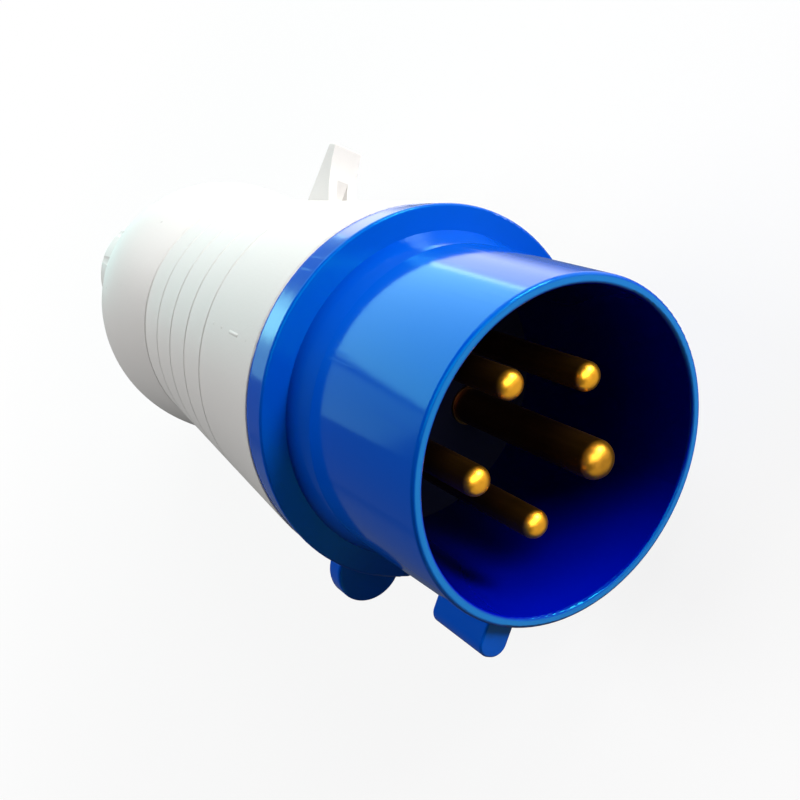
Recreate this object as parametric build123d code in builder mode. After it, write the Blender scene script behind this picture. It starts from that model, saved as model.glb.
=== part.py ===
"""Five-pole industrial pin and sleeve plug, 16 A size, lying on its side.

The plug's axis runs along X with the open mouth of the sleeve at the origin,
facing +X. Depths are measured from the mouth towards the cable, radii from
the axis, and clock angles from the earth pin, anticlockwise as seen by
someone who looks into the mouth. Lengths are in millimetres.
"""

from build123d import *
import os
from math import cos, isclose, radians, sin

os.makedirs("parts", exist_ok=True)

# Clock angles
earth_clock = 0.0
fin_clock = 90.0
key_clock = -90.0
saddle_clock = key_clock + 180
contact_count = 5

# Clearances
fit_gap = 0.2
slip_gap = 0.05
thread_gap = 0.3

# Sleeve, flange and skirt of the front shell
mouth_radius = 28.0
sleeve_wall = 1.8
sleeve_draft = 0.5
sleeve_length = 30.0
lip_round = 0.6
foot_length = 5.6
foot_rise = 1.5
flange_slope_length = 0.4
flange_rise = 4.5
flange_thickness = 6.6
flange_taper = 0.6
flange_round = 0.5
seat_setback = 0.4
seat_width = 0.8
skirt_length = 14.4
skirt_wall = 3.4

# Key on the sleeve and tab on the flange
key_width = 5.4
key_height = 5.8
key_setback = 1.7
key_length = 13.2
key_corner = 2.4
key_round = 0.4
tab_half_width = 6.7
tab_centre_drop = 0.6
tab_thickness = 4.0
tab_round = 0.6

# Contact carrier: disc, hub and partition walls
disc_thickness = 9.0
partition_length = 17.0
partition_thickness = 2.0
hub_radius = 5.0
ring_width = 2.6
ring_gap = 0.4
lock_ring_length = 3.0
lock_notch_count = 4
lock_notch_width = 3.0
lock_notch_depth = 1.2

# Contact pins
pin_circle = 13.05
pin_tip_depth = 4.6
line_pin_radius = 2.5
earth_pin_radius = 3.5
line_tip_round = 2.0
earth_tip_round = 2.8
pin_collar_rise = 0.4
pin_collar_reach = 0.4
line_head_rise = 1.9
earth_head_rise = 1.4
head_setback = 1.3
wire_stop_length = 4.5
line_wire_radius = 1.9
earth_wire_radius = 2.3

# Terminal screws
screw_setback = 7.0
screw_shank_radius = 1.75
screw_head_radius = 3.1
screw_head_height = 2.2
screw_head_lift = 0.65
screw_slot_width = 0.9
screw_slot_depth = 1.1

# Pin retainer and its screw
retainer_thickness = 3.0
retainer_wire_gap = 0.4
retainer_screw_radius = 1.8
retainer_screw_grip = 11.0
retainer_head_radius = 3.4
retainer_head_height = 2.4

# Rear housing
seal_thickness = 0.6
seal_inner_margin = 0.4
seal_outer_margin = 1.2
housing_step = 0.3
housing_edge_round = 0.3
housing_wall = 2.8
skirt_gap = 0.3
grip_length = 69.4
grip_taper = 5.6
flare_length = 11.0
flare_rise = 2.0
bulge_length = 10.0
bulge_rise = 0.6
shoulder_length = 17.0
shoulder_drop = 4.0
dome_length = 17.0
groove_pitch = 10.6
groove_count = 5
groove_half_width = 0.6
groove_cut = 0.35

# Finger fin on the housing
fin_width = 7.0
fin_setback = 22.5
fin_root_length = 11.5
fin_sink = 0.6
fin_height = 14.8
fin_lean = 6.8
fin_top_length = 2.5
fin_hollow_reach = 4.5
fin_hollow_height = 6.9
fin_round = 0.5
pocket_width = 2.8
pocket_depth = 4.9
pocket_height = 9.4

# Cord clamp inside the housing
clamp_end_reach = 2.0
clamp_length = 9.0
clamp_half_span = 16.5
clamp_thickness = 5.0
clamp_split = 1.6
clamp_corner = 2.0
clamp_screw_offset = 12.0
clamp_screw_radius = 1.9
clamp_head_radius = 3.6
clamp_head_height = 2.6
clamp_post_radius = 4.2

# Cable gland
cord_radius = 6.5
seal_wall = 2.7
seal_setback = 0.9
cage_wall = 1.4
cage_reach = 2.5
cage_solid_length = 4.0
cage_slot_count = 8
cage_slot_width = 1.2
passage_margin = 1.5
neck_wall = 2.4
neck_length = 12.0
end_ledge = 4.5
ring_length = 2.0
ring_bore_margin = 2.1
nut_gap = 0.8
nut_wall = 3.9
nut_taper = 0.7
nut_relief_length = 1.0
nut_end_wall = 6.1
nut_mouth_margin = 1.9
nut_round = 2.0
nut_flute_count = 12
nut_flute_radius = 2.4
nut_flute_cut = 0.9

# Radii worked out from the sizes above
mouth_bore = mouth_radius - sleeve_wall
sleeve_foot_radius = mouth_radius + sleeve_draft
collar_radius = sleeve_foot_radius + foot_rise
flange_front_radius = collar_radius + flange_rise
flange_rear_radius = flange_front_radius - flange_taper
key_reach = mouth_radius + key_height
tab_centre_radius = flange_front_radius - tab_centre_drop
carrier_radius = mouth_bore + seat_width
carrier_bore = carrier_radius + fit_gap
skirt_radius = carrier_bore + skirt_wall
lock_ring_bore = carrier_radius - ring_width
partition_radius = lock_ring_bore - ring_gap
line_collar_radius = line_pin_radius + pin_collar_rise
earth_collar_radius = earth_pin_radius + pin_collar_rise
line_head_radius = line_pin_radius + line_head_rise
earth_head_radius = earth_pin_radius + earth_head_rise
screw_head_base = pin_circle + earth_head_radius + screw_head_lift
housing_front_radius = flange_rear_radius + housing_step
housing_front_bore = skirt_radius + skirt_gap
seal_outer_radius = housing_front_radius - seal_outer_margin
waist_radius = housing_front_radius - grip_taper
flare_radius = waist_radius + flare_rise
bulge_radius = flare_radius + bulge_rise
shoulder_radius = bulge_radius - shoulder_drop
fin_top_radius = waist_radius + fin_height
clamp_reach = cord_radius + clamp_thickness
seal_radius = cord_radius + seal_wall
cage_bore = seal_radius + fit_gap
cage_radius = cage_bore + cage_wall
neck_bore = cage_radius + fit_gap
neck_radius = neck_bore + neck_wall
passage_radius = cord_radius + passage_margin
housing_end_radius = neck_radius + end_ledge
ring_bore = cord_radius + ring_bore_margin
nut_bore = neck_radius + thread_gap
nut_front_radius = nut_bore + nut_wall
nut_end_radius = nut_front_radius - nut_taper
nut_mouth_radius = cord_radius + nut_mouth_margin
nut_ring_bore = cage_radius + thread_gap

# Depths worked out from the sizes above
collar_depth = sleeve_length + foot_length
flange_front_depth = collar_depth + flange_slope_length
flange_rear_depth = flange_front_depth + flange_thickness
tab_front_depth = flange_rear_depth - tab_thickness
carrier_seat_depth = flange_rear_depth + seat_setback
skirt_end_depth = flange_rear_depth + skirt_length
disc_rear_depth = carrier_seat_depth + disc_thickness
partition_end_depth = disc_rear_depth + partition_length
head_front_depth = disc_rear_depth + fit_gap
head_end_depth = partition_end_depth - head_setback
screw_depth = partition_end_depth - screw_setback
retainer_front_depth = partition_end_depth + fit_gap
retainer_rear_depth = retainer_front_depth + retainer_thickness
retainer_screw_end_depth = partition_end_depth - retainer_screw_grip
housing_front_depth = flange_rear_depth
waist_depth = housing_front_depth + grip_length
flare_depth = waist_depth + flare_length
bulge_depth = flare_depth + bulge_length
shoulder_depth = bulge_depth + shoulder_length
housing_end_depth = shoulder_depth + dome_length
fin_front_depth = waist_depth - fin_setback
fin_rear_depth = fin_front_depth + fin_root_length
fin_top_front_depth = fin_front_depth + fin_lean
clamp_end_depth = shoulder_depth + clamp_end_reach
clamp_depth = clamp_end_depth - clamp_length
clamp_mid_depth = clamp_end_depth - clamp_length / 2
neck_end_depth = housing_end_depth + neck_length
cage_end_depth = neck_end_depth + cage_reach
cage_slot_depth = housing_end_depth + cage_solid_length
seal_end_depth = cage_end_depth - seal_setback
ring_front_depth = cage_end_depth + fit_gap
ring_rear_depth = ring_front_depth + ring_length
nut_front_depth = housing_end_depth + nut_gap
nut_seat_depth = ring_rear_depth + fit_gap
nut_end_depth = nut_seat_depth + nut_end_wall
contact_step = 360 / contact_count

# Lie of the plug: on the flange's rim, with the side that the thick earth pin makes heavier at the bottom
rest_roll = -82.0


def across(depth):
    """The plane square to the axis at a depth, facing the mouth, earth pin along its x."""
    turn = radians(rest_roll)
    return Plane(origin=(-depth, 0, 0), x_dir=(0, cos(turn), sin(turn)), z_dir=(1, 0, 0))


def along(clock):
    """The plane through the axis at a clock angle: x is the depth and y the radius."""
    turn = radians(clock + rest_roll)
    return Plane(origin=(0, 0, 0), x_dir=(-1, 0, 0), z_dir=(0, sin(turn), -cos(turn)))


def outward(clock, radius, depth):
    """The plane that faces away from the axis at a clock angle, with x along the depth."""
    turn = radians(clock + rest_roll)
    spot = (-depth, radius * cos(turn), radius * sin(turn))
    return Plane(origin=spot, x_dir=(-1, 0, 0), z_dir=(0, cos(turn), sin(turn)))


def contact_spot(clock):
    """Where a contact stands on the pin circle, in the sketch of an across plane."""
    return (pin_circle * cos(radians(clock)), pin_circle * sin(radians(clock)))


def contact_holes(line_radius, earth_radius, mode=Mode.SUBTRACT):
    """One circle for each contact in the current sketch, the earth contact's larger."""
    for contact in range(contact_count):
        with Locations(contact_spot(contact * contact_step)):
            Circle(earth_radius if contact == 0 else line_radius, mode=mode)


def housing_outline(inset):
    """Outer line of the housing from front to rear, moved inwards by an inset."""
    tip = (housing_end_depth - inset, housing_end_radius - inset)
    Polyline(
        (housing_front_depth, housing_front_radius - inset),
        (waist_depth, waist_radius - inset),
    )
    Spline(
        (waist_depth, waist_radius - inset),
        (flare_depth, flare_radius - inset),
        (bulge_depth, bulge_radius - inset),
        (shoulder_depth, shoulder_radius - inset),
        tip,
    )
    return tip


# Tab below the flange: a round-ended tongue with softened edges
with BuildPart() as flange_tab:
    with BuildSketch(across(tab_front_depth)):
        with Locations((0, -tab_centre_radius)):
            Circle(tab_half_width)
        with Locations((0, -tab_centre_radius + tab_half_width / 2)):
            Rectangle(2 * tab_half_width, tab_half_width)
    extrude(amount=-tab_thickness)
    fillet(flange_tab.edges().filter_by(GeomType.CIRCLE), tab_round)


# Front shell: sleeve, flange and skirt in one profile, then the key and the tab
with BuildPart() as front_shell:
    with BuildSketch(along(earth_clock)) as shell_section:
        with BuildLine():
            Polyline(
                (collar_depth, collar_radius),
                (flange_front_depth, flange_front_radius),
                (flange_rear_depth, flange_rear_radius),
                (flange_rear_depth, skirt_radius),
                (skirt_end_depth, skirt_radius),
                (skirt_end_depth, carrier_bore),
                (carrier_seat_depth, carrier_bore),
                (carrier_seat_depth, mouth_bore),
                (0, mouth_bore),
                (0, mouth_radius),
                (sleeve_length, sleeve_foot_radius),
                close=True,
            )
        make_face()
        fillet(shell_section.vertices().group_by(Axis.X)[0], lip_round)
        fillet(shell_section.vertices().group_by(Axis.Y)[-1], flange_round)
    revolve(axis=Axis.X)
    with BuildSketch(across(key_setback)) as key_section:
        with Locations((0, -(key_reach + mouth_bore) / 2)):
            Rectangle(key_width, key_reach - mouth_bore)
        fillet(key_section.vertices().group_by(Axis.Y)[0], key_corner)
    extrude(amount=-key_length)
    add(flange_tab.part)
    with BuildSketch(across(0)):
        Circle(mouth_bore)
    extrude(amount=-carrier_seat_depth, mode=Mode.SUBTRACT)
    with BuildSketch(across(carrier_seat_depth)):
        Circle(carrier_bore)
    extrude(amount=-(skirt_end_depth - carrier_seat_depth), mode=Mode.SUBTRACT)
    key_arcs = front_shell.edges().filter_by(
        lambda edge: edge.geom_type == GeomType.CIRCLE and isclose(edge.radius, key_corner)
    )
    fillet(key_arcs.group_by(Axis.X)[-1], key_round)

front_shell.part.label = "front_shell"
export_step(front_shell.part, "parts/front_shell.step")


# Contact carrier: a disc against the seat, a hub, and a wall between each two contacts
with BuildPart() as contact_carrier:
    with BuildSketch(across(carrier_seat_depth)):
        Circle(carrier_radius)
        contact_holes(line_collar_radius + slip_gap, earth_collar_radius + slip_gap)
    extrude(amount=-disc_thickness)
    with BuildSketch(across(disc_rear_depth)):
        Circle(hub_radius)
        with PolarLocations(partition_radius / 2, contact_count, start_angle=contact_step / 2):
            Rectangle(partition_radius, partition_thickness)
    extrude(amount=-partition_length)
    with BuildSketch(across(partition_end_depth)):
        Circle(retainer_screw_radius + slip_gap)
    extrude(amount=retainer_screw_grip, mode=Mode.SUBTRACT)

contact_carrier.part.label = "contact_carrier"
export_step(contact_carrier.part, "parts/contact_carrier.step")


# Lock ring: holds the carrier's disc against the seat, notched for a key
with BuildPart() as carrier_lock_ring:
    with BuildSketch(across(disc_rear_depth)):
        Circle(carrier_radius)
        Circle(lock_ring_bore, mode=Mode.SUBTRACT)
    extrude(amount=-lock_ring_length)
    with BuildSketch(across(disc_rear_depth + lock_ring_length)):
        with PolarLocations(lock_ring_bore + ring_width / 2, lock_notch_count):
            Rectangle(2 * ring_width, lock_notch_width)
    extrude(amount=lock_notch_depth, mode=Mode.SUBTRACT)

carrier_lock_ring.part.label = "carrier_lock_ring"
export_step(carrier_lock_ring.part, "parts/carrier_lock_ring.step")


# Contact pins: domed at the tip, thicker inside the carrier, with a bored terminal head
pin_names = ["earth_pin", "l1_pin", "l2_pin", "l3_pin", "neutral_pin"]
for contact, pin_name in enumerate(pin_names):
    is_earth = contact == 0
    shank = earth_pin_radius if is_earth else line_pin_radius
    tip_round = earth_tip_round if is_earth else line_tip_round
    collar = earth_collar_radius if is_earth else line_collar_radius
    head = earth_head_radius if is_earth else line_head_radius
    wire = earth_wire_radius if is_earth else line_wire_radius
    clock = contact * contact_step
    with BuildPart() as contact_pin:
        with BuildSketch(across(head_front_depth)):
            with Locations(contact_spot(clock)):
                Circle(shank)
        extrude(amount=head_front_depth - pin_tip_depth)
        fillet(contact_pin.edges().filter_by(GeomType.CIRCLE).sort_by(Axis.X)[-1], tip_round)
        with BuildSketch(across(carrier_seat_depth - pin_collar_reach)):
            with Locations(contact_spot(clock)):
                Circle(collar)
        extrude(amount=-(head_front_depth - carrier_seat_depth + pin_collar_reach))
        with BuildSketch(across(head_front_depth)):
            with Locations(contact_spot(clock)):
                Circle(head)
        extrude(amount=-(head_end_depth - head_front_depth))
        with BuildSketch(across(head_end_depth)):
            with Locations(contact_spot(clock)):
                Circle(wire)
        wire_hole_length = head_end_depth - head_front_depth - wire_stop_length
        extrude(amount=wire_hole_length, mode=Mode.SUBTRACT)
        with BuildSketch(outward(clock, pin_circle, screw_depth)):
            Circle(screw_shank_radius + slip_gap)
        extrude(amount=head, mode=Mode.SUBTRACT)
    contact_pin.part.label = pin_name
    export_step(contact_pin.part, f"parts/{pin_name}.step")


# Terminal screws: one across each contact's head, all alike
with BuildPart() as terminal_screws:
    for contact in range(contact_count):
        wire = earth_wire_radius if contact == 0 else line_wire_radius
        clock = contact * contact_step
        shank_start = pin_circle + wire / 2
        with BuildSketch(outward(clock, shank_start, screw_depth)):
            Circle(screw_shank_radius)
        extrude(amount=screw_head_base - shank_start)
        with BuildSketch(outward(clock, screw_head_base, screw_depth)):
            Circle(screw_head_radius)
        extrude(amount=screw_head_height)
        with BuildSketch(outward(clock, screw_head_base + screw_head_height, screw_depth)):
            Rectangle(2 * screw_head_radius, screw_slot_width)
        extrude(amount=-screw_slot_depth, mode=Mode.SUBTRACT)

terminal_screws.part.label = "terminal_screws"
export_step(terminal_screws.part, "parts/terminal_screws.step")


# Pin retainer: a plate that closes the chambers and lets the conductors in
with BuildPart() as pin_retainer:
    with BuildSketch(across(retainer_front_depth)):
        Circle(partition_radius)
        contact_holes(line_wire_radius + retainer_wire_gap, earth_wire_radius + retainer_wire_gap)
        Circle(retainer_screw_radius + fit_gap, mode=Mode.SUBTRACT)
    extrude(amount=-retainer_thickness)

pin_retainer.part.label = "pin_retainer"
export_step(pin_retainer.part, "parts/pin_retainer.step")


# Retainer screw: through the plate into the carrier's hub
with BuildPart() as retainer_screw:
    with BuildSketch(across(retainer_screw_end_depth)):
        Circle(retainer_screw_radius)
    extrude(amount=-(retainer_rear_depth - retainer_screw_end_depth))
    with BuildSketch(across(retainer_rear_depth)):
        Circle(retainer_head_radius)
    extrude(amount=-retainer_head_height)
    with BuildSketch(across(retainer_rear_depth + retainer_head_height)):
        Rectangle(2 * retainer_head_radius, screw_slot_width)
    extrude(amount=screw_slot_depth, mode=Mode.SUBTRACT)

retainer_screw.part.label = "retainer_screw"
export_step(retainer_screw.part, "parts/retainer_screw.step")


# Housing seal: a flat ring between the flange and the housing
with BuildPart() as housing_seal:
    with BuildSketch(across(flange_rear_depth)):
        Circle(seal_outer_radius)
        Circle(skirt_radius + seal_inner_margin, mode=Mode.SUBTRACT)
    extrude(amount=-seal_thickness)

housing_seal.part.label = "housing_seal"
export_step(housing_seal.part, "parts/housing_seal.step")


# Solid form of the housing, which trims what stands inside it
with BuildPart() as housing_form:
    with BuildSketch(along(fin_clock)):
        with BuildLine():
            tip = housing_outline(housing_wall / 2)
            Polyline(
                tip,
                (tip[0], 0),
                (housing_front_depth, 0),
                (housing_front_depth, housing_front_radius - housing_wall / 2),
            )
        make_face()
    revolve(axis=Axis.X)


# Posts that carry the cord clamp, trimmed inside the housing's wall
with BuildPart() as clamp_posts:
    with BuildSketch(outward(key_clock, clamp_reach, clamp_mid_depth)):
        with Locations((0, clamp_screw_offset), (0, -clamp_screw_offset)):
            Circle(clamp_post_radius)
    extrude(amount=bulge_radius)
    add(housing_form.part, mode=Mode.INTERSECT)
    with BuildSketch(outward(key_clock, clamp_reach, clamp_mid_depth)):
        with Locations((0, clamp_screw_offset), (0, -clamp_screw_offset)):
            Circle(clamp_screw_radius + slip_gap)
    extrude(amount=clamp_thickness, mode=Mode.SUBTRACT)


# Finger fin: a leaning blade with a concave front and a pocket in it
with BuildPart() as finger_fin:
    with BuildSketch(along(fin_clock)):
        with BuildLine():
            Polyline(
                (fin_front_depth, waist_radius - fin_sink),
                (fin_front_depth, waist_radius),
            )
            ThreePointArc(
                (fin_front_depth, waist_radius),
                (fin_front_depth + fin_hollow_reach, waist_radius + fin_hollow_height),
                (fin_top_front_depth, fin_top_radius),
            )
            Polyline(
                (fin_top_front_depth, fin_top_radius),
                (fin_top_front_depth + fin_top_length, fin_top_radius),
                (fin_rear_depth, waist_radius),
                (fin_rear_depth, waist_radius - fin_sink),
                (fin_front_depth, waist_radius - fin_sink),
            )
        make_face()
    extrude(amount=fin_width / 2, both=True)
    fin_top = finger_fin.faces().sort_by_distance(
        outward(fin_clock, fin_top_radius, fin_top_front_depth + fin_top_length / 2).origin
    )[0]
    fillet(fin_top.edges(), fin_round)
    with BuildSketch(along(fin_clock)):
        with BuildLine():
            Polyline(
                (fin_front_depth, waist_radius + housing_wall),
                (fin_front_depth + pocket_depth, waist_radius + housing_wall),
                (fin_front_depth + fin_hollow_reach, waist_radius + pocket_height),
                (fin_front_depth, waist_radius + pocket_height),
                close=True,
            )
        make_face()
    extrude(amount=pocket_width / 2, both=True, mode=Mode.SUBTRACT)


# Rear housing: tapered grip with rings, flared end, gland neck, fin and clamp posts
with BuildPart() as rear_housing:
    with BuildSketch(along(fin_clock)):
        with BuildLine():
            tip = housing_outline(0)
            Polyline(
                tip,
                (housing_end_depth, neck_radius),
                (neck_end_depth, neck_radius),
                (neck_end_depth, 0),
                (housing_front_depth, 0),
                (housing_front_depth, housing_front_radius),
            )
        make_face()
    revolve(axis=Axis.X)
    add(finger_fin.part)
    with BuildSketch(along(fin_clock)):
        with BuildLine():
            inner_tip = housing_outline(housing_wall)
            Polyline(
                inner_tip,
                (inner_tip[0], 0),
                (housing_front_depth, 0),
                (housing_front_depth, housing_front_radius - housing_wall),
            )
        make_face()
    revolve(axis=Axis.X, mode=Mode.SUBTRACT)
    with BuildSketch(across(housing_front_depth)):
        Circle(housing_front_bore)
    extrude(amount=-(skirt_end_depth - housing_front_depth + skirt_gap), mode=Mode.SUBTRACT)
    with BuildSketch(across(housing_front_depth)):
        Circle(seal_outer_radius + slip_gap)
    extrude(amount=-seal_thickness, mode=Mode.SUBTRACT)
    with BuildSketch(across(housing_end_depth - housing_wall)):
        Circle(passage_radius)
    extrude(amount=-housing_wall, mode=Mode.SUBTRACT)
    with BuildSketch(across(housing_end_depth)):
        Circle(neck_bore)
    extrude(amount=-neck_length, mode=Mode.SUBTRACT)
    for ring in range(groove_count):
        ring_depth = waist_depth - ring * groove_pitch
        slope = grip_taper / grip_length
        ring_radius = housing_front_radius - slope * (ring_depth - housing_front_depth)
        with BuildSketch(along(fin_clock)):
            with BuildLine():
                Polyline(
                    (ring_depth - groove_half_width, ring_radius + groove_cut),
                    (ring_depth, ring_radius - groove_cut),
                    (ring_depth + groove_half_width, ring_radius + groove_cut),
                    close=True,
                )
            make_face()
        revolve(axis=Axis.X, mode=Mode.SUBTRACT)
    front_edges = rear_housing.edges().filter_by(GeomType.CIRCLE).group_by(Axis.X)[-1]
    fillet(front_edges.sort_by(SortBy.RADIUS)[-1], housing_edge_round)
    add(clamp_posts.part)

rear_housing.part.label = "rear_housing"
export_step(rear_housing.part, "parts/rear_housing.step")


# Cord clamp: a cradle on the posts and a saddle above it
for half_name, side in (("cord_clamp_cradle", key_clock), ("cord_clamp_saddle", saddle_clock)):
    with BuildPart() as clamp_half:
        with BuildSketch(outward(side, clamp_split / 2, clamp_mid_depth)) as clamp_outline:
            Rectangle(clamp_length, 2 * clamp_half_span)
            fillet(clamp_outline.vertices(), clamp_corner)
        extrude(amount=clamp_reach - clamp_split / 2)
        with BuildSketch(across(clamp_depth)):
            Circle(cord_radius)
        extrude(amount=-clamp_length, mode=Mode.SUBTRACT)
        with BuildSketch(outward(side, 0, clamp_mid_depth)):
            with Locations((0, clamp_screw_offset), (0, -clamp_screw_offset)):
                Circle(clamp_screw_radius + slip_gap)
        extrude(amount=clamp_reach, mode=Mode.SUBTRACT)
    clamp_half.part.label = half_name
    export_step(clamp_half.part, f"parts/{half_name}.step")


# Cord clamp screws: two alike, through the saddle and cradle into the posts
with BuildPart() as cord_clamp_screws:
    with BuildSketch(outward(saddle_clock, clamp_reach, clamp_mid_depth)):
        with Locations((0, clamp_screw_offset), (0, -clamp_screw_offset)):
            Circle(clamp_head_radius)
    extrude(amount=clamp_head_height)
    with BuildSketch(outward(saddle_clock, clamp_reach, clamp_mid_depth)):
        with Locations((0, clamp_screw_offset), (0, -clamp_screw_offset)):
            Circle(clamp_screw_radius)
    extrude(amount=-(2 * clamp_reach + clamp_thickness - fit_gap))
    with BuildSketch(outward(saddle_clock, clamp_reach + clamp_head_height, clamp_mid_depth)):
        with Locations((0, clamp_screw_offset), (0, -clamp_screw_offset)):
            Rectangle(screw_slot_width, 2 * clamp_head_radius)
    extrude(amount=-screw_slot_depth, mode=Mode.SUBTRACT)

cord_clamp_screws.part.label = "cord_clamp_screws"
export_step(cord_clamp_screws.part, "parts/cord_clamp_screws.step")


# Gland cage: a slotted sleeve in the neck whose fingers close on the seal
with BuildPart() as gland_cage:
    with BuildSketch(across(housing_end_depth)):
        Circle(cage_radius)
        Circle(cage_bore, mode=Mode.SUBTRACT)
    extrude(amount=-(cage_end_depth - housing_end_depth))
    with BuildSketch(across(cage_slot_depth)):
        with PolarLocations(cage_radius - cage_wall / 2, cage_slot_count):
            Rectangle(2 * cage_wall, cage_slot_width)
    extrude(amount=-(cage_end_depth - cage_slot_depth), mode=Mode.SUBTRACT)

gland_cage.part.label = "gland_cage"
export_step(gland_cage.part, "parts/gland_cage.step")


# Gland seal: a soft bush around the cable
with BuildPart() as gland_seal:
    with BuildSketch(across(housing_end_depth)):
        Circle(seal_radius)
        Circle(cord_radius, mode=Mode.SUBTRACT)
    extrude(amount=-(seal_end_depth - housing_end_depth))

gland_seal.part.label = "gland_seal"
export_step(gland_seal.part, "parts/gland_seal.step")


# Thrust ring: the washer that the nut pushes against the cage
with BuildPart() as thrust_ring:
    with BuildSketch(across(ring_front_depth)):
        Circle(cage_radius)
        Circle(ring_bore, mode=Mode.SUBTRACT)
    extrude(amount=-ring_length)

thrust_ring.part.label = "thrust_ring"
export_step(thrust_ring.part, "parts/thrust_ring.step")


# Gland nut: fluted grip outside, bored for the neck, the thrust ring and the cable
with BuildPart() as gland_nut:
    with BuildSketch(along(fin_clock)):
        with BuildLine():
            Polyline(
                (nut_front_depth, nut_bore),
                (nut_front_depth, nut_front_radius),
                (nut_end_depth, nut_end_radius),
                (nut_end_depth, nut_mouth_radius),
                (nut_seat_depth, nut_mouth_radius),
                (nut_seat_depth, nut_ring_bore),
                (neck_end_depth + nut_relief_length, nut_bore),
                close=True,
            )
        make_face()
    revolve(axis=Axis.X)
    end_edges = gland_nut.edges().filter_by(GeomType.CIRCLE).group_by(Axis.X)[0]
    fillet(end_edges.sort_by(SortBy.RADIUS)[-1], nut_round)
    flute_offset = nut_front_radius + nut_flute_radius - nut_flute_cut
    with BuildSketch(across(nut_front_depth)):
        with PolarLocations(flute_offset, nut_flute_count):
            Circle(nut_flute_radius)
    extrude(amount=-(nut_end_depth - nut_front_depth), mode=Mode.SUBTRACT)

gland_nut.part.label = "gland_nut"
export_step(gland_nut.part, "parts/gland_nut.step")
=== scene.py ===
"""Looks, light and camera for a five-pole industrial pin and sleeve plug.

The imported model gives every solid. This script gives them their plastics,
brass, steel and rubber, adds the neck's thread and the housing's mould seams,
and sets up a plain pale studio. Lengths are in metres. The plug's axis runs
along X with the sleeve's mouth at the origin, so a point's depth is -x and
its radius is its distance from the X axis. The camera and the lights are
placed around a plug whose tab is at the lower left, and then lean round the
plug's axis with it to the lie that it rests in.
"""

import math

import bpy
import numpy as np
from bpy.props import FloatProperty, FloatVectorProperty, IntProperty, PointerProperty
from mathutils import Euler, Matrix, Vector


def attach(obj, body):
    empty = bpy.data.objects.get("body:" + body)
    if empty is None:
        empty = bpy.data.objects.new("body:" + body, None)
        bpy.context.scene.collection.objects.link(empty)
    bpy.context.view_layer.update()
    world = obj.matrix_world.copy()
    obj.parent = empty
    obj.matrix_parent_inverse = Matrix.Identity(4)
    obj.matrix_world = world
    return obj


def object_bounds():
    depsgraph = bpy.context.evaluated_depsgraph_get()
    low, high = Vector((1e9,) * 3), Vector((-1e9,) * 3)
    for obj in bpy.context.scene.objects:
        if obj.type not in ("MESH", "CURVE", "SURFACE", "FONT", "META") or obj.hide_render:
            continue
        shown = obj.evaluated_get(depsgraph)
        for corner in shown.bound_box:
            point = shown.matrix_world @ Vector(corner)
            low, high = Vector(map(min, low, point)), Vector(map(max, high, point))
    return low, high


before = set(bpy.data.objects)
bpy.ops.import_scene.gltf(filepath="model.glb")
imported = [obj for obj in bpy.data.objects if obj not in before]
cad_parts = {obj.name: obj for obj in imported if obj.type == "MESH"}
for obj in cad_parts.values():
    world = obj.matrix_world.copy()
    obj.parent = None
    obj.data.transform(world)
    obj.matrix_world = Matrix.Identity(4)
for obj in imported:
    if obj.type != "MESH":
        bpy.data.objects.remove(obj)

cad_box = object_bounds()

bl_info = {
    "name": "Pin and sleeve plug",
    "version": (1, 0, 0),
    "blender": (4, 5, 0),
    "location": "3D View > Sidebar > Plug",
    "description": "Materials, fine pieces and studio for an industrial plug",
    "category": "Object",
}

MM = 0.001
FLOOR_HEIGHT = cad_box[0].z
WHITE = (1, 1, 1)


# Sizes and colours


def colour(name, description, value):
    """A colour setting in linear red, green and blue."""
    return FloatVectorProperty(
        name=name, description=description, default=value, size=3, min=0, max=1, subtype="COLOR"
    )


def share(name, description, value):
    """A setting from 0 to 1."""
    return FloatProperty(
        name=name, description=description, default=value, min=0, max=1, subtype="FACTOR"
    )


def length(name, description, millimetres):
    """A length setting, given in millimetres and kept in metres."""
    return FloatProperty(
        name=name, description=description, default=millimetres * MM, unit="LENGTH", precision=5
    )


def angle(name, description, degrees):
    """An angle setting, given in degrees and kept in radians."""
    return FloatProperty(
        name=name, description=description, default=math.radians(degrees),
        subtype="ANGLE", unit="ROTATION",
    )


def power(name, description, watts):
    """The power of a light, in watts."""
    return FloatProperty(name=name, description=description, default=watts, unit="POWER")


class PlugColours(bpy.types.PropertyGroup):
    """Colours of the plug's plastics and metals, and the shade and highlight painted on them."""

    sleeve: colour("Sleeve blue", "Moulded blue of the front shell", (0.0, 0.085, 0.60))
    # Painted shade: the next two blues darken the sleeve's inner wall, more so deeper in, where
    # shade falls.
    sleeve_inner_shade: colour("Inner blue", "Blue just inside the sleeve", (0.0, 0.004, 0.42))
    sleeve_deep_shade: colour("Deep blue", "Blue deep inside the sleeve", (0.0, 0.001, 0.14))
    # Painted highlight: a light blue laid on the mouth's rim.
    sleeve_rim_highlight: colour("Edge blue", "Blue of thin edges, which glow", (0.04, 0.42, 0.92))
    sleeve_sheen: colour("Sheen", "Tint of the blue plastic's reflections", (0.0, 0.9, 1.0))
    housing: colour("Housing grey", "Pale grey of the rear housing", (0.79, 0.77, 0.75))
    housing_dust: colour("Dust", "Dirt that stays in the grip's rings", (0.42, 0.41, 0.38))
    carrier: colour("Carrier", "Near-black blue of the contact carrier", (0.002, 0.003, 0.022))
    brass: colour("Brass", "Clean brass of the contacts", (1.0, 0.46, 0.03))
    # Tarnish patches on the tips, and painted shade along the contacts' sides.
    tarnish_and_shade: colour("Tarnish", "Darker film on the contacts", (0.13, 0.055, 0.018))
    steel: colour("Steel", "Plated screws", (0.62, 0.62, 0.60))
    rubber: colour("Rubber", "Gland seal and flange seal", (0.025, 0.025, 0.027))


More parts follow.
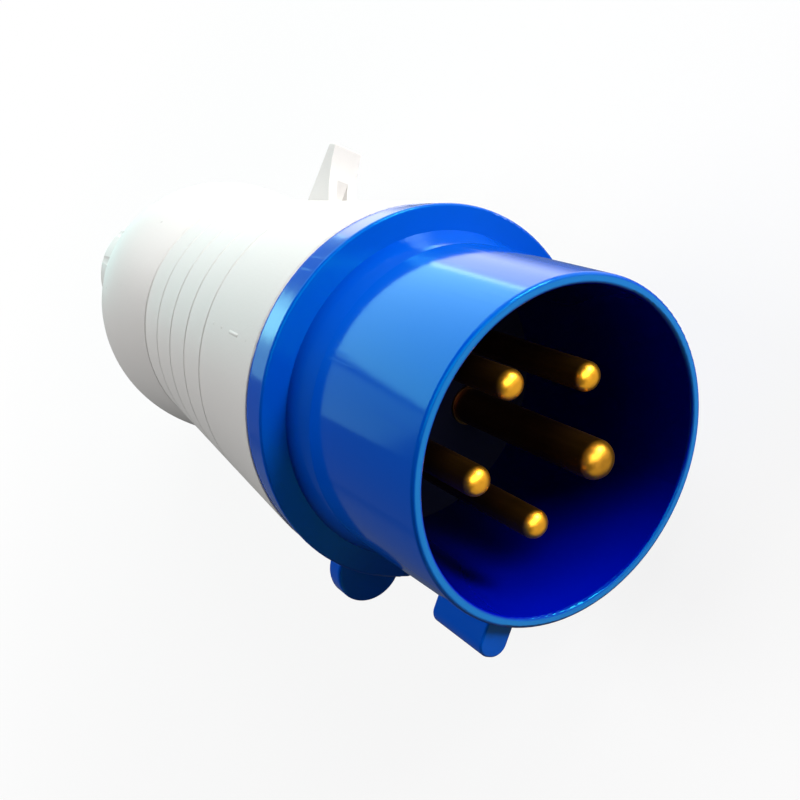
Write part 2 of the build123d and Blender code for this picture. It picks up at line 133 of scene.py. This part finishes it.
class PlugFinish(bpy.types.PropertyGroup):
    """Gloss and wear."""

    sleeve_roughness: share("Sleeve roughness", "Gloss of the blue plastic", 0.09)
    housing_roughness: share("Housing roughness", "Satin of the grey plastic", 0.42)
    brass_roughness: share("Brass roughness", "Polish of the contacts", 0.24)
    scratches: share("Scratches", "How strongly fine scratches show", 0.35)
    dust: share("Dust", "How strongly dust shows in the grip's rings", 0.04)
    line_film: share("Line film", "How filmed the tips of the line contacts are", 0.35)
    earth_film: share("Earth film", "How filmed the tip of the earth contact is", 0.5)


class PatternPlaces(bpy.types.PropertyGroup):
    """Radii and depths that the colours follow."""

    # Painted shade inside the sleeve: bore and wall bound the inner wall that gets it, lit and dark
    # the depths over which it deepens.
    bore: length("Bore", "Radius up to which the sleeve is all inner blue", 26.3)
    wall: length("Wall", "Radius from which the sleeve is all outer blue", 26.9)
    lit: length("Lit", "Depth from which the inner blue darkens", 1.0)
    dark: length("Dark", "Depth from which the inner blue is darkest", 24.0)
    # Bounds of the painted highlight on the mouth's rim.
    rim_depth: length("Rim depth", "Depth where the rim's glow ends", 0.6)
    rim_radius: length("Rim radius", "Radius where the rim's glow ends", 27.7)
    # The contacts show clean brass down to these depths; behind them their sides get painted shade.
    line_tip: length("Line tip", "Depth to which the line contacts are bright", 5.8)
    earth_tip: length("Earth tip", "Depth to which the earth contact is bright", 6.5)
    grip_start: length("Grip start", "Depth where the dusty grip starts", 61.0)
    grip_end: length("Grip end", "Depth where the dusty grip ends", 114.0)
    ring: length("Ring", "Depth of the grip's last ring", 112.0)
    ring_pitch: length("Ring pitch", "Distance from one ring to the next", 10.6)


class ThreadSizes(bpy.types.PropertyGroup):
    """The thread on the gland's neck."""

    start: length("Start", "Depth where the thread starts", 168.9)
    end: length("End", "Depth where the thread ends", 178.3)
    pitch: length("Pitch", "Distance from one turn to the next", 1.5)
    root: length("Root radius", "Radius under the neck's surface", 13.35)
    crest: length("Crest radius", "Radius of the thread's top", 13.6)
    foot_share: share("Foot", "Half width of the ridge's foot, in pitches", 0.36)
    top_share: share("Top", "Half width of the ridge's top, in pitches", 0.10)
    steps: IntProperty(name="Steps", description="Points in one turn", default=72, min=12)


class SeamSizes(bpy.types.PropertyGroup):
    """The mould seams along the housing."""

    start: length("Start", "Depth where a seam starts", 44.0)
    end: length("End", "Depth where a seam ends", 66.0)
    width: length("Width", "Width of a seam", 0.7)
    height: length("Height", "How far a seam stands proud", 0.16)
    sunk: length("Sunk", "How far a seam's edges lie under the surface", 0.03)
    fade: length("Fade", "Length over which a seam's ends fade", 2.0)
    clock: angle("Clock", "Angle of the first seam from +Y; the second is opposite it", 98.0)
    steps: IntProperty(name="Steps", description="Points along a seam", default=260, min=20)


class StudioSettings(bpy.types.PropertyGroup):
    """Camera and lights."""

    lens: FloatProperty(name="Lens", description="Focal length", default=44.9181, unit="CAMERA")
    shift: FloatProperty(name="Shift", description="Upward shift of the frame", default=0.05)
    camera_place: FloatVectorProperty(
        name="Camera", description="Camera position before the stage leans",
        default=(0.106887, -0.081396, 0.072523), subtype="TRANSLATION", unit="LENGTH",
    )
    camera_turn: FloatVectorProperty(
        name="Turn", description="Camera rotation before the stage leans",
        default=tuple(math.radians(a) for a in (63.8067, 11.2598, 57.6282)), subtype="EULER",
    )
    lean: angle("Lean", "How far the camera and the lights lean round the plug's axis", -47.0907)
    key: power("Key", "Power of the top softbox", 2.1)
    front: power("Front", "Power of the front softbox", 5.6)
    side: power("Side", "Power of the side softbox", 3.0)
    upper: power("Upper", "Power of the upper back panel", 6.2)
    lower: power("Lower", "Power of the lower back panel", 0.45)
    rear: power("Rear", "Power of the rear panel", 1.8)
    facing: power("Facing", "Power of the front panel", 5.6)
    world: FloatProperty(
        name="World", description="Strength of the level light", default=0.05, min=0
    )
    mirrored: share("Mirrored", "How white the world is in reflections", 0.08)
    card: colour("Card", "Colour of the back panels", (0.38, 0.86, 0.82))


class FloorSettings(bpy.types.PropertyGroup):
    """The floor, as the camera, the plug's reflections and its lit sides see it."""

    shade: colour("Shade", "Colour that the plug's lit sides see", (0.07, 0.07, 0.07))
    white: share("White", "How far the camera sees plain white near the plug", 0.85)
    shadow_near: FloatProperty(
        name="Shadow near", description="Distance from the plug where its shadow starts to fade",
        default=0.12, unit="LENGTH",
    )
    shadow_far: FloatProperty(
        name="Shadow far", description="Distance from the plug where the floor is plain white",
        default=0.40, unit="LENGTH",
    )
    strength: FloatProperty(
        name="Strength", description="How bright its white is in reflections; 1 to the camera",
        default=4.0, min=1,
    )
    beside: share("Beside", "White that reflections see on the plug's +Y side", 0.6)
    before: share("Before", "White that reflections see in front of the mouth", 0.15)
    elsewhere: share("Elsewhere", "White that reflections see everywhere", 0.0125)


class PlugSettings(bpy.types.PropertyGroup):
    """All settings of the plug and its studio."""

    colours: PointerProperty(type=PlugColours)
    finish: PointerProperty(type=PlugFinish)
    places: PointerProperty(type=PatternPlaces)
    thread: PointerProperty(type=ThreadSizes)
    seams: PointerProperty(type=SeamSizes)
    studio: PointerProperty(type=StudioSettings)
    floor: PointerProperty(type=FloorSettings)


# Shader arithmetic


class Term:
    """A shader value. Arithmetic on it adds the Math nodes."""

    def __init__(self, paint, socket):
        self.paint = paint
        self.socket = socket

    def math(self, operation, first, second):
        """A Math node of the operation on two values."""
        made = self.paint.node("Math", {"operation": operation}, {0: first, 1: second})
        return Term(self.paint, made.outputs[0])

    def __add__(self, other):
        return self.math("ADD", self, other)

    def __sub__(self, other):
        return self.math("SUBTRACT", self, other)

    def __rsub__(self, other):
        return self.math("SUBTRACT", other, self)

    def __mul__(self, other):
        return self.math("MULTIPLY", self, other)

    def __truediv__(self, other):
        return self.math("DIVIDE", self, other)

    def __pow__(self, other):
        return self.math("POWER", self, other)

    __radd__ = __add__


class Paint:
    """One material: its tree, its shader and the places that patterns read."""

    def __init__(self, name, **constants):
        self.material = bpy.data.materials.new(name)
        self.material.use_nodes = True
        self.tree = self.material.node_tree
        self.shader = next(n for n in self.tree.nodes if n.type == "BSDF_PRINCIPLED")
        for socket, value in constants.items():
            self.shader.inputs[socket.replace("_", " ")].default_value = value
        place = self.node("TexCoord").outputs["Object"]
        split = self.node("SeparateXYZ", {}, {0: place})
        self.place = Term(self, place)
        self.x, self.y, self.z = (Term(self, split.outputs[axis]) for axis in "XYZ")
        self.depth = self.x * -1.0
        self.radius = (self.y * self.y + self.z * self.z) ** 0.5

    def node(self, kind, settings=None, sockets=None):
        """A node of a kind, its settings made first and then its sockets' values or links."""
        made = self.tree.nodes.new("ShaderNode" + kind)
        for name, value in (settings or {}).items():
            setattr(made, name, value)
        for name, value in (sockets or {}).items():
            if isinstance(value, Term):
                value = value.socket
            if isinstance(value, bpy.types.NodeSocket):
                self.tree.links.new(value, made.inputs[name])
            else:
                made.inputs[name].default_value = value
        return made

    def noise(self, scale, detail=2.0, stretch=None):
        """Noise from 0 to 1, finer with a larger scale, drawn out by a stretch along X, Y and Z."""
        place = self.place
        if stretch:
            mapped = self.node("Mapping", {}, {"Vector": place, "Scale": stretch})
            place = Term(self, mapped.outputs[0])
        made = self.node("TexNoise", {}, {"Vector": place, "Scale": scale, "Detail": detail})
        return Term(self, made.outputs[0])

    def step(self, value, low, high):
        """0 below low, 1 above high and a smooth rise between them."""
        made = self.node(
            "MapRange", {"interpolation_type": "SMOOTHSTEP"},
            {"Value": value, "From Min": low, "From Max": high},
        )
        return Term(self, made.outputs[0])

    def mix(self, factor, first, second):
        """The first colour where the factor is 0 and the second where it is 1."""
        ends = [value if isinstance(value, Term) else (*value, 1.0) for value in (first, second)]
        made = self.node("Mix", {"data_type": "RGBA"}, {0: factor, 6: ends[0], 7: ends[1]})
        return Term(self, made.outputs[2])

    def finish(self, base, roughness=None, height=None, strength=0.1):
        """Links the colour, the roughness and the bump, and gives back the material."""
        self.tree.links.new(base.socket, self.shader.inputs["Base Color"])
        if roughness is not None:
            self.tree.links.new(roughness.socket, self.shader.inputs["Roughness"])
        if height is not None:
            sockets = {"Strength": strength, "Distance": 0.2 * MM, "Height": height}
            bump = self.node("Bump", {}, sockets)
            self.tree.links.new(bump.outputs[0], self.shader.inputs["Normal"])
        return self.material


# Materials


def scaled(value, factor):
    """A colour made lighter or darker."""
    return tuple(min(1.0, part * factor) for part in value)


def blue_plastic(colours, finish, places):
    """Glossy moulded blue with flow marks and fine scratches, painted shade inside the sleeve that
    darkens deeper in, and a painted highlight on the mouth's rim.
    """
    tint = (*colours.sleeve_sheen, 1.0)
    paint = Paint("blue_plastic", IOR=1.32, Specular_IOR_Level=0.65, Specular_Tint=tint)
    # Painted shade: the inner wall takes darker blues, darkest deep in the sleeve.
    inside = 1 - paint.step(paint.radius, places.bore, places.wall)
    deep = paint.step(paint.depth, places.lit, places.dark)
    inner = paint.mix(deep, colours.sleeve_inner_shade, colours.sleeve_deep_shade)
    flow = paint.noise(28, detail=3, stretch=(0.35, 1, 1))
    body = paint.mix(flow, scaled(colours.sleeve, 0.90), scaled(colours.sleeve, 1.10))
    # Painted highlight: half of a light blue on the mouth's rim, standing in for a reflection.
    shallow = 1 - paint.step(paint.depth, places.rim_depth - 0.5 * MM, places.rim_depth)
    within = 1 - paint.step(paint.radius, places.rim_radius - 0.4 * MM, places.rim_radius)
    body = paint.mix(shallow * within * 0.5, body, colours.sleeve_rim_highlight)
    base = paint.mix(inside, body, inner)
    scratch = paint.step(paint.noise(900, detail=1, stretch=(0.05, 1, 1)), 0.62, 0.78)
    rough = finish.sleeve_roughness + scratch * (0.25 * finish.scratches) + paint.noise(60) * 0.03
    grain = paint.noise(1400) * 0.4 + scratch * finish.scratches
    return paint.finish(base, rough, grain, strength=0.05)


def grey_plastic(colours, finish, places):
    """Satin pale grey with a fine moulded grain, faint specks and dust in the grip's rings."""
    paint = Paint("grey_plastic", IOR=1.45, Specular_IOR_Level=0.06)
    ring = (paint.depth - places.ring) / places.ring_pitch
    beside = ring.math("PINGPONG", ring, 0.5)
    groove = 1 - paint.step(beside, 0.02, 0.09)
    started = paint.step(paint.depth, places.grip_start - MM, places.grip_start + MM)
    ended = paint.step(paint.depth, places.grip_end - MM, places.grip_end + MM)
    dust = groove * (started * (1 - ended)) * (paint.noise(90, detail=3) * 0.6 + 0.1)
    cloud = paint.noise(22, detail=4)
    body = paint.mix(cloud, scaled(colours.housing, 0.965), scaled(colours.housing, 1.02))
    speck = paint.step(paint.noise(420, detail=1), 0.80, 0.84)
    body = paint.mix(speck * 0.35, body, colours.housing_dust)
    base = paint.mix(dust * finish.dust, body, colours.housing_dust)
    rough = finish.housing_roughness + cloud * 0.10
    return paint.finish(base, rough, paint.noise(2200))


def contact_brass(name, colours, finish, film, bright):
    """Turned brass with tarnish patches, clean on the rounded tip down to some depth, and behind it
    painted shade in the tarnish colour that darkens further in.
    """
    paint = Paint(name, Metallic=1.0)
    cloud = paint.noise(160, detail=4)
    drawn = paint.noise(1500, stretch=(0.04, 1, 1))
    # Painted shade: the side behind the tip takes the tarnish colour, at three quarters at once and
    # in full deeper in.
    tip_edge, shade_deepens_from, shade_deepest_at = 0.6 * MM, 7 * MM, 18 * MM
    side = paint.step(paint.depth, bright, bright + tip_edge)
    side_shade = side * (0.75 + paint.step(paint.depth, shade_deepens_from, shade_deepest_at) * 0.25)
    filmed = paint.step(cloud, 0.35, 0.75) * film * (1 - side_shade) + side_shade
    base = paint.mix(filmed, colours.brass, colours.tarnish_and_shade)
    rough = finish.brass_roughness + cloud * 0.14 + drawn * 0.08
    return paint.finish(base, rough, drawn + paint.noise(2600, detail=1) * 0.5, strength=0.12)


def carrier_plastic(colours):
    """Near-black moulded plastic with a faint grain."""
    paint = Paint("carrier_plastic", IOR=1.45, Specular_IOR_Level=0.12)
    cloud = paint.noise(70, detail=3)
    base = paint.mix(cloud, scaled(colours.carrier, 0.7), scaled(colours.carrier, 1.3))
    return paint.finish(base, 0.5 + paint.noise(240) * 0.12, paint.noise(1800), strength=0.12)


def plated_steel(colours):
    """Zinc-plated steel, slightly cloudy."""
    paint = Paint("plated_steel", Metallic=1.0)
    cloud = paint.noise(300, detail=3)
    base = paint.mix(cloud, scaled(colours.steel, 0.8), colours.steel)
    return paint.finish(base, 0.28 + cloud * 0.16, paint.noise(2400))


def seal_rubber(colours):
    """Soft black rubber with a dull bloom."""
    paint = Paint("seal_rubber")
    bloom = paint.noise(120, detail=4)
    base = paint.mix(bloom, colours.rubber, scaled(colours.rubber, 2.2))
    return paint.finish(base, 0.62 + bloom * 0.2, paint.noise(1500, detail=3), strength=0.2)


# Making and dressing pieces


def dress(material, *nodes):
    """Gives CAD nodes a material in place of the plain one that they came with."""
    for name in nodes:
        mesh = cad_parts[name].data
        mesh.materials.clear()
        mesh.materials.append(material)


def surface(name, points, material, body):
    """A new smooth piece from a grid of points, which are given in rows and columns."""
    mesh = bpy.data.meshes.new(name)
    faces = ribbon_faces(*points.shape[:2])
    mesh.from_pydata(points.reshape(-1, 3).tolist(), [], faces.tolist())
    mesh.validate()
    mesh.materials.append(material)
    mesh.shade_smooth()
    piece = bpy.data.objects.new(name, mesh)
    bpy.context.scene.collection.objects.link(piece)
    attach(piece, body)
    return piece


def ribbon_faces(rows, columns):
    """Faces between neighbouring rows and columns of a grid of points."""
    row, column = np.meshgrid(np.arange(rows - 1), np.arange(columns - 1), indexing="ij")
    first = row * columns + column
    corners = (first, first + 1, first + columns + 1, first + columns)
    return np.stack(corners, axis=-1).reshape(-1, 4)


def thread_points(sizes):
    """A helical ridge: at turn t its angle is 2 pi t and its middle's depth is start + pitch
    (t + 1/2). Its profile is a trapezium of four corners, whose height fades to nothing over the
    first and last half turn."""
    turns = (sizes.end - sizes.start) / sizes.pitch - 1
    count = int(turns * sizes.steps)
    turn = np.linspace(0, turns, count)
    clock = 2 * math.pi * turn
    fade = np.clip(np.minimum(turn, turns - turn) / 0.5, 0, 1)
    crest = sizes.root + (sizes.crest - sizes.root) * fade
    root = np.full(count, sizes.root)
    middle = sizes.start + sizes.pitch * (turn + 0.5)
    foot, top = sizes.foot_share, sizes.top_share
    offsets = np.array((-foot, -top, top, foot)) * sizes.pitch
    radii = np.stack((root, crest, crest, root), axis=1)
    depth = middle[:, None] + offsets[None, :]
    across, up = radii * np.cos(clock)[:, None], radii * np.sin(clock)[:, None]
    return np.stack((-depth, across, up), axis=-1)


def outer_radius(node, depths, clock):
    """Largest radius of a CAD node's vertices around an angle, in bins of depth, with straight
    lines between the bins. A bin that only holds vertices of the inner wall gives the inner
    wall's radius."""
    reach, bin_length = math.radians(25), 0.25 * MM
    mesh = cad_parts[node].data
    flat = np.empty(len(mesh.vertices) * 3, np.float32)
    mesh.vertices.foreach_get("co", flat)
    spots = flat.reshape(-1, 3)
    turn = np.angle(np.exp(1j * (np.arctan2(spots[:, 2], spots[:, 1]) - clock)))
    near = np.abs(turn) < reach
    depth, radius = -spots[near, 0], np.hypot(spots[near, 1], spots[near, 2])
    order = np.argsort(depth)
    depth, radius = depth[order], radius[order]
    bins = np.round(depth / bin_length).astype(int)
    kinds, first = np.unique(bins, return_index=True)
    highest = np.maximum.reduceat(radius, first)
    return np.interp(depths, kinds * bin_length, highest)


def strip_points(sizes, clock):
    """A low ridge along the housing: at depth d and share s across its width, from -1 to 1, its
    radius is outer_radius(d) + height (1 - s^2) fade(d) - sunk. Where outer_radius falls to the
    inner wall, the ridge runs under the surface."""
    depths = np.linspace(sizes.start, sizes.end, sizes.steps)
    base = outer_radius("rear_housing", depths, clock)
    fade = np.clip(np.minimum(depths - sizes.start, sizes.end - depths) / sizes.fade, 0, 1)
    across = np.linspace(-1, 1, 5)
    rise = sizes.height * (1 - across**2)[None, :] * fade[:, None] - sizes.sunk
    radius = base[:, None] + rise
    turn = clock + across[None, :] * sizes.width / 2 / base[:, None]
    depth = np.broadcast_to(depths[:, None], radius.shape)
    return np.stack((-depth, radius * np.cos(turn), radius * np.sin(turn)), -1)


# Studio


def leaned(studio, place, turn):
    """The matrix of something at a place and turn, carried round the plug's axis by the lean."""
    return Matrix.Rotation(studio.lean, 4, "X") @ Matrix.LocRotScale(place, turn, None)


def make_softbox(studio, name, watts, place, size, depth=20, card=None, shine=True):
    """A rectangular lamp that faces the plug's axis at a depth in millimetres.

    A card has a colour and only shows in reflections; a lamp with no shine only lights.
    """
    lamp = bpy.data.lights.new(name, "AREA")
    lamp.shape = "RECTANGLE"
    lamp.size, lamp.size_y = size
    lamp.energy = watts
    piece = bpy.data.objects.new(name, lamp)
    bpy.context.scene.collection.objects.link(piece)
    aim = Vector((-depth * MM, 0, 0)) - Vector(place)
    piece.matrix_world = leaned(studio, Vector(place), aim.to_track_quat("-Z", "Y"))
    piece.visible_camera = False
    piece.visible_diffuse = card is None
    piece.visible_glossy = shine
    lamp.color = card or WHITE
    return piece


def make_camera(studio):
    """The camera of the main picture."""
    camera = bpy.data.objects.new("camera", bpy.data.cameras.new("camera"))
    bpy.context.scene.collection.objects.link(camera)
    camera.matrix_world = leaned(studio, Vector(studio.camera_place), Euler(studio.camera_turn))
    camera.data.lens = studio.lens
    camera.data.shift_y = studio.shift
    camera.data.clip_start = 5 * MM
    bpy.context.scene.camera = camera


def make_floor(settings):
    """A wide flat floor under the plug that keeps its shadow near it and is white further out.

    Reflections see it brightest on the plug's +Y side, where it lights the sleeve's upper edge.
    """
    reach, plug_middle = 3.0, 80 * MM
    mesh = bpy.data.meshes.new("floor")
    corners = ((-reach, -reach), (reach, -reach), (reach, reach), (-reach, reach))
    mesh.from_pydata([(x, y, FLOOR_HEIGHT) for x, y in corners], [], [(0, 1, 2, 3)])
    floor = bpy.data.objects.new("floor", mesh)
    bpy.context.scene.collection.objects.link(floor)
    paint = Paint("floor_paint", Roughness=0.7)
    away = ((paint.x + plug_middle) ** 2 + paint.y * paint.y) ** 0.5
    rays = paint.node("LightPath")
    kinds = ("Camera", "Glossy", "Transmission")
    camera, glossy, passing = (Term(paint, rays.outputs[f"Is {kind} Ray"]) for kind in kinds)
    white = paint.mix(paint.noise(6), (0.89, 0.89, 0.89), (0.91, 0.91, 0.91))
    paint.finish(paint.mix(camera, settings.shade, white))
    mirrored = glossy + passing
    strength = mirrored * (settings.strength - 1) + 1
    glow = paint.node("Emission", {}, {"Color": (*WHITE, 1), "Strength": strength})
    beside = paint.step(paint.y, 60 * MM, 120 * MM) * settings.beside
    before = paint.step(paint.x, -10 * MM, 30 * MM) * settings.before
    seen = camera + mirrored * (beside + before + settings.elsewhere)
    faded = paint.step(away, settings.shadow_near, settings.shadow_far)
    factor = seen * (settings.white + faded * (1 - settings.white))
    blend = paint.node("MixShader", {}, {0: factor, 1: paint.shader.outputs[0], 2: glow.outputs[0]})
    output = next(n for n in paint.tree.nodes if n.type == "OUTPUT_MATERIAL")
    paint.tree.links.new(blend.outputs[0], output.inputs["Surface"])
    mesh.materials.append(paint.material)


def make_world(studio):
    """Level light all round, plain white to the camera and only faintly white in reflections."""
    world = bpy.data.worlds.new("studio")
    world.use_nodes = True
    bpy.context.scene.world = world
    tree = world.node_tree
    background = next(n for n in tree.nodes if n.type == "BACKGROUND")
    output = next(n for n in tree.nodes if n.type == "OUTPUT_WORLD")
    background.inputs["Color"].default_value = (*WHITE, 1)
    background.inputs["Strength"].default_value = studio.world
    white = tree.nodes.new("ShaderNodeBackground")
    white.inputs["Color"].default_value = (*WHITE, 1)
    white.inputs["Strength"].default_value = 1.0
    rays = tree.nodes.new("ShaderNodeLightPath")
    seen = rays.outputs["Is Camera Ray"]
    for kind in ("Is Glossy Ray", "Is Transmission Ray"):
        either = tree.nodes.new("ShaderNodeMath")
        either.operation = "MULTIPLY_ADD"
        tree.links.new(rays.outputs[kind], either.inputs[0])
        either.inputs[1].default_value = studio.mirrored
        tree.links.new(seen, either.inputs[2])
        seen = either.outputs[0]
    blend = tree.nodes.new("ShaderNodeMixShader")
    tree.links.new(seen, blend.inputs[0])
    tree.links.new(background.outputs[0], blend.inputs[1])
    tree.links.new(white.outputs[0], blend.inputs[2])
    tree.links.new(blend.outputs[0], output.inputs["Surface"])


# Operators


class PLUG_OT_front_shell(bpy.types.Operator):
    """Dress the blue sleeve, flange, key and tab"""

    bl_idname = "plug.front_shell"
    bl_label = "Front shell"

    def execute(self, context):
        plug = context.scene.plug
        dress(blue_plastic(plug.colours, plug.finish, plug.places), "front_shell")
        return {"FINISHED"}


class PLUG_OT_contacts(bpy.types.Operator):
    """Dress the five contacts, the earth contact duller than the others"""

    bl_idname = "plug.contacts"
    bl_label = "Contacts"

    def execute(self, context):
        plug = context.scene.plug
        finish, places = plug.finish, plug.places
        line = contact_brass(
            "contact_brass", plug.colours, finish, finish.line_film, places.line_tip
        )
        earth = contact_brass(
            "earth_brass", plug.colours, finish, finish.earth_film, places.earth_tip
        )
        dress(line, "l1_pin", "l2_pin", "l3_pin", "neutral_pin")
        dress(earth, "earth_pin")
        return {"FINISHED"}


class PLUG_OT_carrier(bpy.types.Operator):
    """Dress the contact carrier, its lock ring, the pin retainer and the cord clamp"""

    bl_idname = "plug.carrier"
    bl_label = "Carrier and clamp"

    def execute(self, context):
        plug = context.scene.plug
        dark = carrier_plastic(plug.colours)
        dress(dark, "contact_carrier", "carrier_lock_ring", "pin_retainer")
        dress(dark, "cord_clamp_cradle", "cord_clamp_saddle")
        return {"FINISHED"}


class PLUG_OT_fasteners(bpy.types.Operator):
    """Dress the terminal, retainer and clamp screws"""

    bl_idname = "plug.fasteners"
    bl_label = "Screws"

    def execute(self, context):
        steel = plated_steel(context.scene.plug.colours)
        dress(steel, "terminal_screws", "retainer_screw", "cord_clamp_screws")
        return {"FINISHED"}


class PLUG_OT_housing(bpy.types.Operator):
    """Dress the grey housing and the gland nut, and add the mould seams"""

    bl_idname = "plug.housing"
    bl_label = "Housing"

    def execute(self, context):
        plug = context.scene.plug
        grey = grey_plastic(plug.colours, plug.finish, plug.places)
        dress(grey, "rear_housing", "gland_nut")
        clocks = (plug.seams.clock, plug.seams.clock - math.pi)
        for number, clock in enumerate(clocks, 1):
            points = strip_points(plug.seams, clock)
            surface(f"housing_seam_{number}", points, grey, "plug")
        return {"FINISHED"}


class PLUG_OT_gland(bpy.types.Operator):
    """Dress the gland's cage, ring and seals, and add the neck's thread"""

    bl_idname = "plug.gland"
    bl_label = "Gland"

    def execute(self, context):
        plug = context.scene.plug
        grey = bpy.data.materials["grey_plastic"]
        dress(bpy.data.materials["carrier_plastic"], "gland_cage", "thrust_ring")
        dress(seal_rubber(plug.colours), "gland_seal", "housing_seal")
        surface("neck_thread", thread_points(plug.thread), grey, "plug")
        return {"FINISHED"}


class PLUG_OT_studio(bpy.types.Operator):
    """Set up the floor, the lights, the world and the camera"""

    bl_idname = "plug.studio"
    bl_label = "Studio"

    def execute(self, context):
        plug = context.scene.plug
        studio, card = plug.studio, plug.studio.card
        context.scene.view_settings.view_transform = "Standard"
        make_floor(plug.floor)
        make_world(studio)
        make_softbox(
            studio, "key_light", studio.key, place=(-0.10, 0.14, 0.55), size=(0.5, 0.5), depth=80
        )
        make_softbox(
            studio, "front_light", studio.front,
            place=(0.40, 0.34, 0.487), size=(0.24, 0.24), depth=40,
        )
        make_softbox(
            studio, "side_light", studio.side,
            place=(-0.35, -0.60, 0.25), size=(0.5, 0.4), depth=80, shine=False,
        )
        make_softbox(
            studio, "upper_panel", studio.upper, place=(-0.72, 0, 0.52), size=(1.3, 0.36), card=card
        )
        make_softbox(
            studio, "lower_panel", studio.lower,
            place=(-0.72, -0.33, 0.13), size=(0.41, 0.28), card=card,
        )
        make_softbox(
            studio, "rear_panel", studio.rear, place=(-0.80, 0, 0.11), size=(0.45, 0.28), card=card
        )
        make_softbox(
            studio, "front_panel", studio.facing,
            place=(0.45, 0, 0.25), size=(0.9, 0.42), card=WHITE,
        )
        make_camera(studio)
        return {"FINISHED"}


class PLUG_PT_sidebar(bpy.types.Panel):
    """The plug's settings and operators"""

    bl_idname = "PLUG_PT_sidebar"
    bl_label = "Pin and sleeve plug"
    bl_space_type = "VIEW_3D"
    bl_region_type = "UI"
    bl_category = "Plug"

    def draw(self, context):
        plug = context.scene.plug
        groups = (plug.colours, plug.finish, plug.places, plug.thread, plug.seams)
        for group in (*groups, plug.studio, plug.floor):
            box = self.layout.box()
            for name in group.bl_rna.properties.keys():
                if name not in ("rna_type", "name"):
                    box.prop(group, name)
        for operator in OPERATORS:
            self.layout.operator(operator.bl_idname)


OPERATORS = (
    PLUG_OT_front_shell,
    PLUG_OT_contacts,
    PLUG_OT_carrier,
    PLUG_OT_fasteners,
    PLUG_OT_housing,
    PLUG_OT_gland,
    PLUG_OT_studio,
)
GROUPS = (
    PlugColours,
    PlugFinish,
    PatternPlaces,
    ThreadSizes,
    SeamSizes,
    StudioSettings,
    FloorSettings,
    PlugSettings,
)
CLASSES = (*GROUPS, *OPERATORS, PLUG_PT_sidebar)


def register():
    """Registers the classes and the scene's settings."""
    for kind in CLASSES:
        bpy.utils.register_class(kind)
    bpy.types.Scene.plug = PointerProperty(type=PlugSettings)


def unregister():
    """Takes the settings and the classes out again."""
    del bpy.types.Scene.plug
    for kind in reversed(CLASSES):
        bpy.utils.unregister_class(kind)


def main():
    """Builds everything in order."""
    register()
    for operator in OPERATORS:
        group, name = operator.bl_idname.split(".")
        getattr(getattr(bpy.ops, group), name)()


if __name__ == "__main__":
    main()
